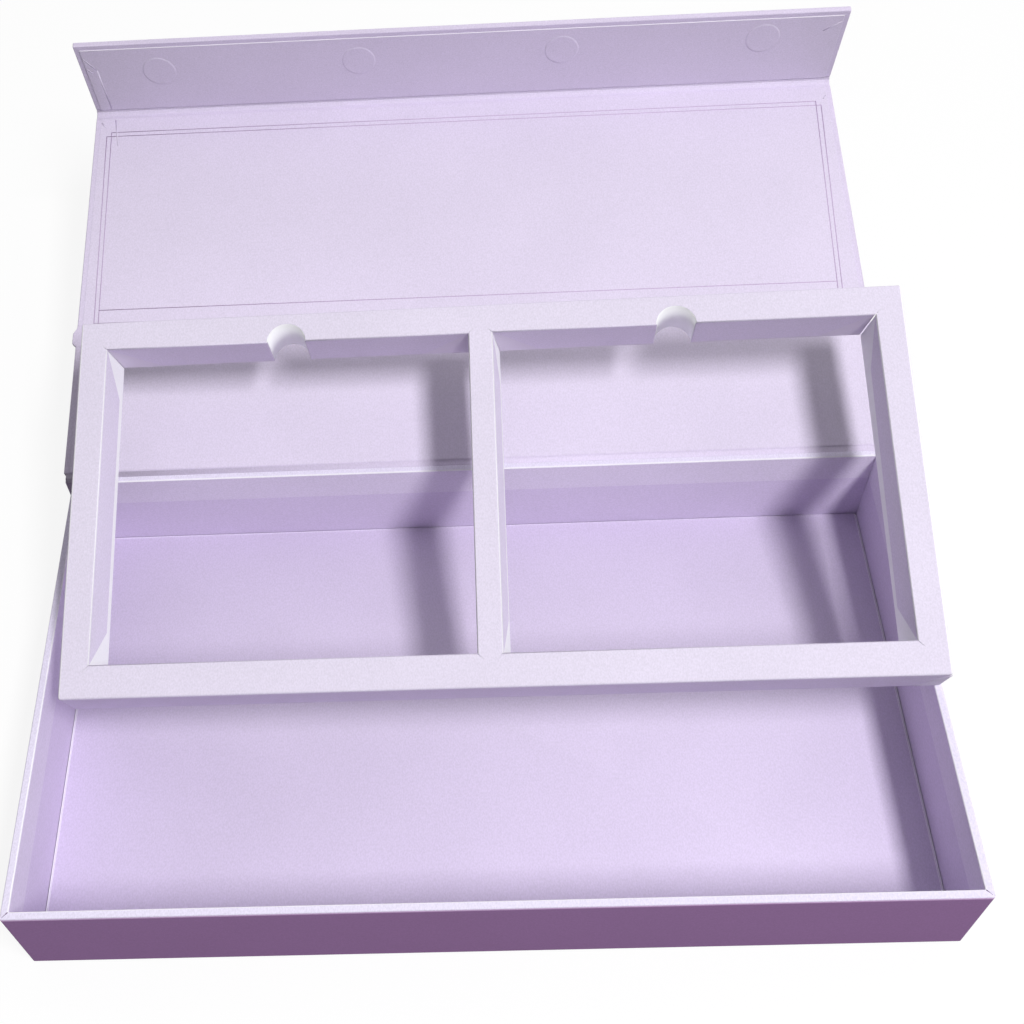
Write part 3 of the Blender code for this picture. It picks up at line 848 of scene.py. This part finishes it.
def window_sides(window):
    """(start, end, outwards, mitre at start and end, tab's depth at start and end) of each side that has a tab."""
    corners = window_corners(window, 0)
    notch = notch_arc(window, NOTCH_RADIUS + NOTCH_SET_BACK, WINDOW_BACK + WINDOW_BEND)
    right, left = Vector((notch[0].x, WINDOW_BACK)), Vector((notch[-1].x, WINDOW_BACK))
    front_left, front_right, back_right, back_left = corners
    right_tab = (SIDE_TAB, SIDE_TAB if window == WINDOWS[0] else SHORT_SIDE_TAB)
    return [(front_left, front_right, Vector((0, -1)), TAB_MITRE, TAB_MITRE, FULL_TAB, FULL_TAB),
            (front_right, back_right, Vector((1, 0)), TAB_MITRE, WIDE_MITRE, *right_tab),
            (back_right, right, Vector((0, 1)), TAB_MITRE, 0, BACK_TAB, BACK_TAB),
            (left, back_left, Vector((0, 1)), 0, TAB_MITRE, BACK_TAB, BACK_TAB),
            (back_left, front_left, Vector((-1, 0)), TAB_MITRE, TAB_MITRE, SIDE_TAB, SIDE_TAB)]


def fill_loops(shape, loops, height):
    """A flat face at that height inside the first loop and outside the others."""
    edges = []
    for loop in loops:
        verts = [shape.verts.new((*point, height)) for point in loop]
        edges += [shape.edges.new((verts[number - 1], verts[number])) for number in range(len(verts))]
    made = bmesh.ops.triangle_fill(shape, use_beauty=True, edges=edges, normal=(0, 0, 1))
    for item in made["geom"]:
        if isinstance(item, bmesh.types.BMFace):
            item.smooth = False


def painted_highlight_bend(point):
    """Whether a place of the insert's paper gets a painted highlight: on a bend along a side of it or of a window, or
    under the skirts.
    """
    if point.z < -INSERT_SKIRT + HEM / 2:
        return True
    if not -INSERT_EDGE * 0.97 < point.z < -HIGHLIGHT_TOP:
        return False
    sides = [side for window in WINDOWS for side in window[:2]]
    inner = WINDOW_FRONT < point.y < WINDOW_BACK and any(abs(point.x - side) < WINDOW_BEND * 1.2 for side in sides)
    return inner or abs(point.x) > INSERT_HALF - INSERT_EDGE * 1.02


def painted_shade_side(point):
    """Whether a place of the insert's paper is on the front skirt or on a window's back side, which get the case's
    darker paper as painted shade.
    """
    return (-INSERT_SKIRT + HEM / 2 < point.z < PAINTED_SHADE_TOP
            and (abs(point.y - WINDOW_BACK) < PAINTED_SHADE_NEAR or point.y < PAINTED_SHADE_NEAR))


def make_insert_cover():
    """One sheet: the top with its cut windows, tabs turned down into them, and skirts hemmed up inside."""
    shape = bmesh.new()
    fill_loops(shape, [insert_loop(-INSERT_EDGE, TOP_CORNER)] + [window_loop(window) for window in WINDOWS], 0)
    rows = []
    for angle in arc(0, 90, 4):
        out = -INSERT_EDGE * (1 - math.sin(angle))
        corner = TOP_CORNER + (INSERT_CORNER - TOP_CORNER) * math.sin(angle)
        rows.append([Vector((*point, -INSERT_EDGE * (1 - math.cos(angle)))) for point in insert_loop(out, corner)])
    for height in (*SKIRT_STOPS, -INSERT_SKIRT + HEM / 2):
        rows.append([Vector((*point, height)) for point in insert_loop(0, INSERT_CORNER)])
    for angle in arc(30, 180, 5):
        out = -HEM / 2 * (1 - math.cos(angle))
        rows.append([Vector((*point, -INSERT_SKIRT + HEM / 2 - HEM / 2 * math.sin(angle)))
                     for point in insert_loop(out, max(INSERT_CORNER + out, LEAST_CORNER))])
    rows.append([Vector((*point, -INSERT_SKIRT + HEM_HEIGHT)) for point in insert_loop(-HEM, LEAST_CORNER)])
    loft(shape, rows, caps=False)
    for window in WINDOWS:
        for start, end, outwards, mitre_start, mitre_end, depth_start, depth_end in window_sides(window):
            along = (end - start).normalized()
            rows = []
            for angle in arc(0, 90, 3):
                out = outwards * WINDOW_BEND * (1 - math.sin(angle))
                reach = WINDOW_BEND * (1 - math.sin(angle)) - SLIT_WIDTH / 2
                low = start + out - along * reach * (mitre_start > 0)
                high = end + out + along * reach * (mitre_end > 0)
                rows.append([Vector((*point, -WINDOW_BEND * (1 - math.cos(angle)))) for point in (low, high)])
            tab_ends = ((start, 1, mitre_start, depth_start), (end, -1, mitre_end, depth_end))
            for share in TAB_STOPS:
                row = []
                for corner, sign, mitre, depth in tab_ends:
                    height = depth * share
                    reach = (height - WINDOW_BEND) * mitre + SLIT_WIDTH / 2 * (mitre > 0)
                    row.append(lean(window, Vector((*(corner + along * reach * sign), -height))))
                rows.append(row)
            loft(shape, rows, around=False)
    piece = make_piece("insert_cover", shape, insert_paper, ["insert_paper"], INSERT_PLACE, merge=True)
    turn_up(piece)
    give_faces(piece, painted_highlight_and_pale_edge_paper, painted_highlight_bend, INSERT_PLACE)
    give_faces(piece, case_paper, painted_shade_side, INSERT_PLACE)
    solid = piece.modifiers.new("paper_thickness", "SOLIDIFY")
    solid.thickness = THIN_SHEET
    solid.offset = -1
    solid.material_offset_rim = 1
    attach(piece, "insert")


def turn_up(piece):
    """Turns an open sheet's faces over if its top one looks down."""
    largest = max(piece.data.polygons, key=lambda face: face.area)
    if largest.normal.z < 0:
        piece.data.flip_normals()


def make_skirt_tab():
    """The slanting end of the side skirt's paper, glued over the front skirt's right end."""
    shape = bmesh.new()
    loft(shape, [[Vector((INSERT_HALF - inwards, y, z)) for inwards, z in SKIRT_TAB] for y in SKIRT_TAB_FACES])
    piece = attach(make_piece("skirt_tab", shape, insert_paper, (), INSERT_PLACE), "insert")


def make_insert_card():
    """The white card under the paper: the top plate, and the flaps that stiffen the windows."""
    shape = bmesh.new()
    loops = [insert_loop(-HEM, LEAST_CORNER)]
    for window in WINDOWS:
        loop = []
        grow = CARD_BEHIND_PAPER + INSERT_CARD
        for number, corner in enumerate(window_corners(window, grow)):
            loop.append(corner)
            if number == 2:
                loop += notch_arc(window, NOTCH_RADIUS + INSERT_CARD, WINDOW_BACK + grow)
        loops.append(loop)
    top, bottom = -CARD_BEHIND_PAPER, -CARD_BEHIND_PAPER - INSERT_CARD
    for height in (top, bottom):
        fill_loops(shape, loops, height)
    for loop in loops:
        loft(shape, [[Vector((*point, height)) for point in loop] for height in (top, bottom)], caps=False)
    piece = make_piece("insert_plate", shape, white_card, ["insert_board"], INSERT_PLACE, merge=True)
    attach(piece, "insert")

    for side, window in zip(("left", "right"), WINDOWS):
        shape = bmesh.new()
        front_left, front_right, back_right, back_left = window_corners(window, CARD_BEHIND_PAPER)
        gap_x, gap_y = Vector((FLAP_GAP, 0)), Vector((0, FLAP_GAP))
        notch = notch_arc(window, NOTCH_RADIUS, WINDOW_BACK + CARD_BEHIND_PAPER)
        paths = [[front_right - gap_x, front_left + gap_x], [back_right - gap_y, front_right + gap_y],
                 [front_left + gap_y, back_left - gap_y], [back_left + gap_x] + notch[::-1] + [back_right - gap_x]]
        for path in paths:
            outline = thicken(path, INSERT_CARD)
            loft(shape, [[lean(window, Vector((*point, height))) for point in outline]
                         for height in (top, -WINDOW_FLAP)])
        piece = make_piece(f"{side}_window_flaps", shape, white_card, (), INSERT_PLACE)
        # The back flap's face towards the window gets the darker card as painted shade
        back_face = WINDOW_BACK + CARD_BEHIND_PAPER
        give_faces(piece, painted_shade_card, lambda point: abs(point.y - back_face) < 0.0001, INSERT_PLACE)
        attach(piece, "insert")


# The stage

CAMERA_PLACE = Vector((-0.00454, -0.27194, 0.52849))
CAMERA_PITCH = math.radians(54.289)
CAMERA_YAW = math.radians(-3.798)
CAMERA_ROLL = math.radians(-5.023)
CAMERA_LENS = 49.32
CAMERA_SENSOR = 36
CAMERA_SHIFT = 0.0996
CAMERA_CLIP = (0.01, 50)


def make_camera():
    forward = Vector((math.sin(CAMERA_YAW) * math.cos(CAMERA_PITCH), math.cos(CAMERA_YAW) * math.cos(CAMERA_PITCH),
                      -math.sin(CAMERA_PITCH)))
    level = Vector((math.cos(CAMERA_YAW), -math.sin(CAMERA_YAW), 0))
    above = level.cross(forward)
    right = math.cos(CAMERA_ROLL) * level + math.sin(CAMERA_ROLL) * above
    up = right.cross(forward)
    camera = bpy.data.objects.new("camera", bpy.data.cameras.new("camera"))
    bpy.context.scene.collection.objects.link(camera)
    camera.matrix_world = Matrix.Translation(CAMERA_PLACE) @ Matrix((right, up, -forward)).transposed().to_4x4()
    camera.data.lens = CAMERA_LENS
    camera.data.sensor_width = CAMERA_SENSOR
    camera.data.shift_x = CAMERA_SHIFT
    camera.data.clip_start, camera.data.clip_end = CAMERA_CLIP
    bpy.context.scene.camera = camera


# The key light is a long box, narrow across and deep from front to back
KEY_POWER = 40.5
KEY_WIDE, KEY_DEEP = 0.32, 0.9
KEY_PLACE = Vector((0.78, -0.86, 1.90))
KEY_AIM = Vector((0, 0.05, 0.05))
AMBIENT = 0.37
# The studio is brighter towards the right and the back
SKY_LEAN = Vector((0.5, 0.9, 0))
# The floor: half its side, its height, how much of its white comes from the light, and its colour for other rays
FLOOR_HALF = 4
FLOOR_HEIGHT = -0.0003
FLOOR_LIT = 0.12
FLOOR_BOUNCE = (0.30, 0.30, 0.31, 1)


def make_lights():
    key = bpy.data.objects.new("key", bpy.data.lights.new("key", "AREA"))
    bpy.context.scene.collection.objects.link(key)
    key.data.shape = "RECTANGLE"
    key.data.size, key.data.size_y = KEY_WIDE, KEY_DEEP
    key.data.energy = KEY_POWER
    away = (KEY_PLACE - KEY_AIM).normalized()
    deep = (Vector((0, 1, 0)) - away * away.y).normalized()
    key.matrix_world = Matrix.Translation(KEY_PLACE) @ Matrix((deep.cross(away), deep, away)).transposed().to_4x4()
    world = bpy.data.worlds.new("studio")
    bpy.context.scene.world = world
    world.use_nodes = True
    tree = world.node_tree
    background = tree.nodes["Background"]
    background.inputs["Color"].default_value = WHITE
    place = tree.nodes.new("ShaderNodeTexCoord")
    side = tree.nodes.new("ShaderNodeVectorMath")
    side.operation = "DOT_PRODUCT"
    side.inputs[1].default_value = SKY_LEAN
    tree.links.new(place.outputs["Generated"], side.inputs[0])
    ambient = add_range(tree, side.outputs["Value"], -1, 1, 0, 2 * AMBIENT)
    tree.links.new(seen(tree, ambient, 1.0), background.inputs["Strength"])


def seen(tree, otherwise, straight):
    """One value for rays from the camera or a mirror, another for the rest."""
    path = tree.nodes.new("ShaderNodeLightPath")
    most = path.outputs["Is Camera Ray"]
    for other in ("Is Glossy Ray", "Is Transmission Ray"):
        larger = tree.nodes.new("ShaderNodeMath")
        larger.operation = "MAXIMUM"
        tree.links.new(most, larger.inputs[0])
        tree.links.new(path.outputs[other], larger.inputs[1])
        most = larger.outputs[0]
    return add_range(tree, most, 0, 1, otherwise, straight)


def make_floor():
    """White for the camera and mirrors, with a soft shadow, and dimmer for the light that it throws back."""
    material = bpy.data.materials.new("studio_floor")
    material.use_nodes = True
    tree = material.node_tree
    tree.nodes.remove(tree.nodes["Principled BSDF"])
    glow = tree.nodes.new("ShaderNodeEmission")
    white = tree.nodes.new("ShaderNodeBsdfDiffuse")
    white.inputs["Color"].default_value = WHITE
    dim = tree.nodes.new("ShaderNodeBsdfDiffuse")
    dim.inputs["Color"].default_value = FLOOR_BOUNCE
    bright = tree.nodes.new("ShaderNodeMixShader")
    bright.inputs["Fac"].default_value = FLOOR_LIT
    tree.links.new(glow.outputs[0], bright.inputs[1])
    tree.links.new(white.outputs[0], bright.inputs[2])
    choose = tree.nodes.new("ShaderNodeMixShader")
    tree.links.new(seen(tree, 0.0, 1.0), choose.inputs["Fac"])
    tree.links.new(dim.outputs[0], choose.inputs[1])
    tree.links.new(bright.outputs[0], choose.inputs[2])
    tree.links.new(choose.outputs[0], tree.nodes["Material Output"].inputs["Surface"])
    shape = bmesh.new()
    bmesh.ops.create_grid(shape, x_segments=1, y_segments=1, size=FLOOR_HALF)
    mesh = bpy.data.meshes.new("studio_floor")
    shape.to_mesh(mesh)
    shape.free()
    mesh.materials.append(material)
    floor = bpy.data.objects.new("studio_floor", mesh)
    floor.location.z = FLOOR_HEIGHT
    bpy.context.scene.collection.objects.link(floor)


dress_cad_nodes()
make_tray()
make_rim_slits()
make_spine()
make_rear_hinge()
make_case()
make_magnet_marks()
make_border()
make_ridges()
make_insert_cover()
make_skirt_tab()
make_insert_card()
make_camera()
make_lights()
make_floor()
bpy.context.scene.view_settings.view_transform = "Standard"
